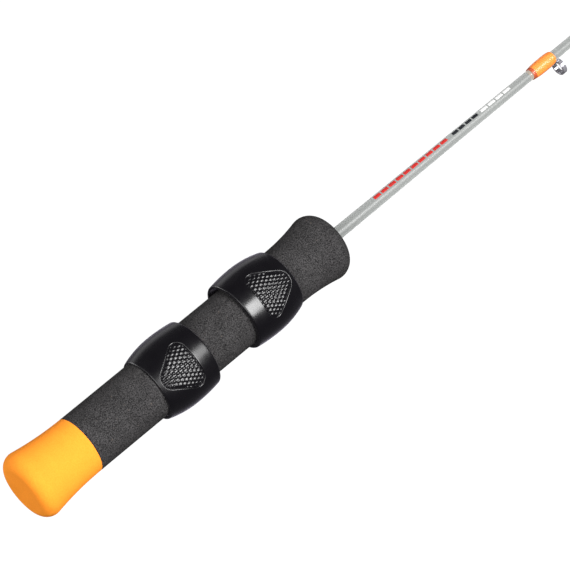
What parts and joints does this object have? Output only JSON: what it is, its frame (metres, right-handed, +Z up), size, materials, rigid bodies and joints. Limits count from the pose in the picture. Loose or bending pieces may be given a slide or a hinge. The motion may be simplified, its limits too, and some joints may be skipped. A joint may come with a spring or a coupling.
{
  "type": "ice fishing rod",
  "caption": "Short ice fishing rod: tapered fibreglass blank, flared foam grip, sliding rings that clamp a reel, wrapped line guides and a tip-top.",
  "frame": {"origin": "centre of the butt cap's flat end face, on the rod's axis", "axes": "+X along the rod from butt to tip; +Z up as the rod is held, with the reel and the line guides on the -Z side; +Y to the left"},
  "size_m": [0.58, 0.0336, 0.0338],
  "materials": {
    "eva_orange": "matte",
    "eva_black": "matte",
    "core_plastic": "matte",
    "blank_fibreglass": "gloss",
    "ring_plastic": "satin",
    "guide_steel": "polished",
    "eye_steel": "polished",
    "thread_orange": "satin",
    "epoxy_clear": "gloss"
  },
  "bodies": {
    "rod": {"butt_cap": "eva_orange", "grip_foam": "eva_black", "grip_core": "core_plastic", "blank": "blank_fibreglass", "guide_1_frame": "guide_steel", "guide_1_eye": "eye_steel", "guide_1_thread": "thread_orange", "guide_1_epoxy": "epoxy_clear", "guide_2_frame": "guide_steel", "guide_2_eye": "eye_steel", "guide_2_thread": "thread_orange", "guide_2_epoxy": "epoxy_clear", "guide_3_frame": "guide_steel", "guide_3_eye": "eye_steel", "guide_3_thread": "thread_orange", "guide_3_epoxy": "epoxy_clear", "tip_frame": "guide_steel", "tip_eye": "eye_steel", "tip_thread": "thread_orange", "tip_epoxy": "epoxy_clear"},
    "rear_ring": {"rear_reel_ring": "ring_plastic"},
    "front_ring": {"front_reel_ring": "ring_plastic"}
  },
  "joints": [
    {"name": "rear_ring_slide", "type": "slide", "parent": "rod", "child": "rear_ring", "axis": [1, 0, 0], "range_m": [-0.032, 0.0105]},
    {"name": "front_ring_slide", "type": "slide", "parent": "rod", "child": "front_ring", "axis": [1, 0, 0], "range_m": [-0.0105, 0.0025]}
  ]
}
